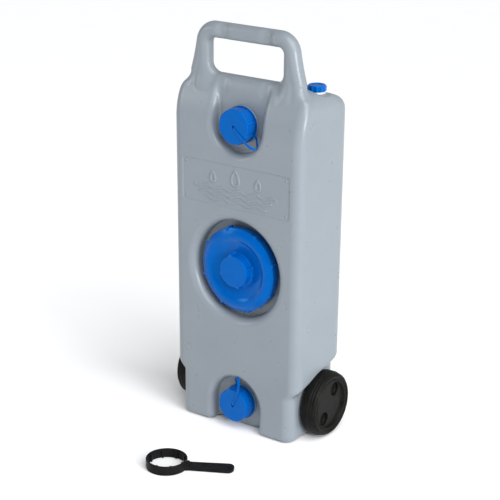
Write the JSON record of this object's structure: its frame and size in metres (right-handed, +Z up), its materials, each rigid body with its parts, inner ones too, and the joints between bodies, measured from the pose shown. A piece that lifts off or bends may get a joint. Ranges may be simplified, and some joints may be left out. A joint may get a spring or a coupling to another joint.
{
  "type": "rolling water tote",
  "caption": "Blow-moulded hand-pulled water tote with a hollow grip, wheels, tethered screw caps, a wide cleaning lid, a vent cap and a loose cap wrench.",
  "frame": {"origin": "on the floor, on the flat base under the middle of the tank", "axes": "+Z up towards the grip, -Y out of the front face with the caps, +X to the vent's side along the axle"},
  "size_m": [0.338, 0.402, 0.7935],
  "materials": {
    "tank_plastic": "satin, lightly grained",
    "cap_plastic": "gloss",
    "seal_rubber": "matte",
    "collar_plastic": "satin",
    "axle_steel": "bright drawn",
    "cap_steel": "bright",
    "tyre_rubber": "matte",
    "wheel_plastic": "satin",
    "wrench_plastic": "satin"
  },
  "bodies": {
    "tank": {"tank_shell": "tank_plastic", "upper_tether_ring": "cap_plastic", "lower_tether_ring": "cap_plastic", "vent_collar": "collar_plastic", "axle": "axle_steel", "left_washer": "axle_steel", "right_washer": "axle_steel", "left_axle_cap": "cap_steel", "right_axle_cap": "cap_steel"},
    "upper_cap_lift": {"upper_cap_gasket": "seal_rubber", "upper_tether_strap": "cap_plastic"},
    "upper_cap_turn": {"upper_cap": "cap_plastic"},
    "lower_cap_lift": {"lower_cap_gasket": "seal_rubber", "lower_tether_strap": "cap_plastic"},
    "lower_cap_turn": {"lower_cap": "cap_plastic"},
    "wide_lid_lift": {"wide_lid_gasket": "seal_rubber"},
    "wide_lid_turn": {"wide_lid": "cap_plastic"},
    "vent_cap_lift": {"vent_gasket": "seal_rubber"},
    "vent_cap_turn": {"vent_cap": "cap_plastic"},
    "left_wheel": {"left_tyre": "tyre_rubber", "left_wheel_hub": "wheel_plastic", "left_wheel_cover": "wheel_plastic"},
    "right_wheel": {"right_tyre": "tyre_rubber", "right_wheel_hub": "wheel_plastic", "right_wheel_cover": "wheel_plastic"},
    "wrench": {"cap_wrench": "wrench_plastic"}
  },
  "joints": [
    {"name": "upper_cap_lift", "type": "slide", "parent": "tank", "child": "upper_cap_lift", "axis": [0, -1, 0], "range_m": [0, 0.0135]},
    {"name": "upper_cap_turn", "type": "hinge", "parent": "upper_cap_lift", "child": "upper_cap_turn", "pos_m": [0, -0.0863, 0.6125], "axis": [0, -1, 0], "range_deg": [0, 810]},
    {"name": "lower_cap_lift", "type": "slide", "parent": "tank", "child": "lower_cap_lift", "axis": [0, -1, 0], "range_m": [0, 0.0135]},
    {"name": "lower_cap_turn", "type": "hinge", "parent": "lower_cap_lift", "child": "lower_cap_turn", "pos_m": [0, -0.0863, 0.0505], "axis": [0, -1, 0], "range_deg": [0, 810]},
    {"name": "wide_lid_lift", "type": "slide", "parent": "tank", "child": "wide_lid_lift", "axis": [0, -1, 0], "range_m": [0, 0.012]},
    {"name": "wide_lid_turn", "type": "hinge", "parent": "wide_lid_lift", "child": "wide_lid_turn", "pos_m": [0, -0.0845, 0.3295], "axis": [0, -1, 0], "range_deg": [0, 720]},
    {"name": "vent_cap_lift", "type": "slide", "parent": "tank", "child": "vent_cap_lift", "axis": [0, 0, 1], "range_m": [0, 0.006]},
    {"name": "vent_cap_turn", "type": "hinge", "parent": "vent_cap_lift", "child": "vent_cap_turn", "pos_m": [0.117, 0.012, 0.68], "axis": [0, 0, 1], "range_deg": [0, 720]},
    {"name": "left_wheel_spin", "type": "hinge", "parent": "tank", "child": "left_wheel", "pos_m": [-0.1525, 0.01, 0.0643], "axis": [1, 0, 0], "continuous": true},
    {"name": "right_wheel_spin", "type": "hinge", "parent": "tank", "child": "right_wheel", "pos_m": [0.1525, 0.01, 0.0643], "axis": [1, 0, 0], "continuous": true},
    {"name": "wrench_lift", "type": "slide", "parent": "tank", "child": "wrench", "axis": [0, 0, 1], "range_m": [0, 0.1]}
  ],
  "couplings": [
    {"joint": "upper_cap_lift", "follows": "upper_cap_turn", "m_per_rad": 0.00095493},
    {"joint": "lower_cap_lift", "follows": "lower_cap_turn", "m_per_rad": 0.00095493},
    {"joint": "wide_lid_lift", "follows": "wide_lid_turn", "m_per_rad": 0.00095493},
    {"joint": "vent_cap_lift", "follows": "vent_cap_turn", "m_per_rad": 0.00047746}
  ]
}
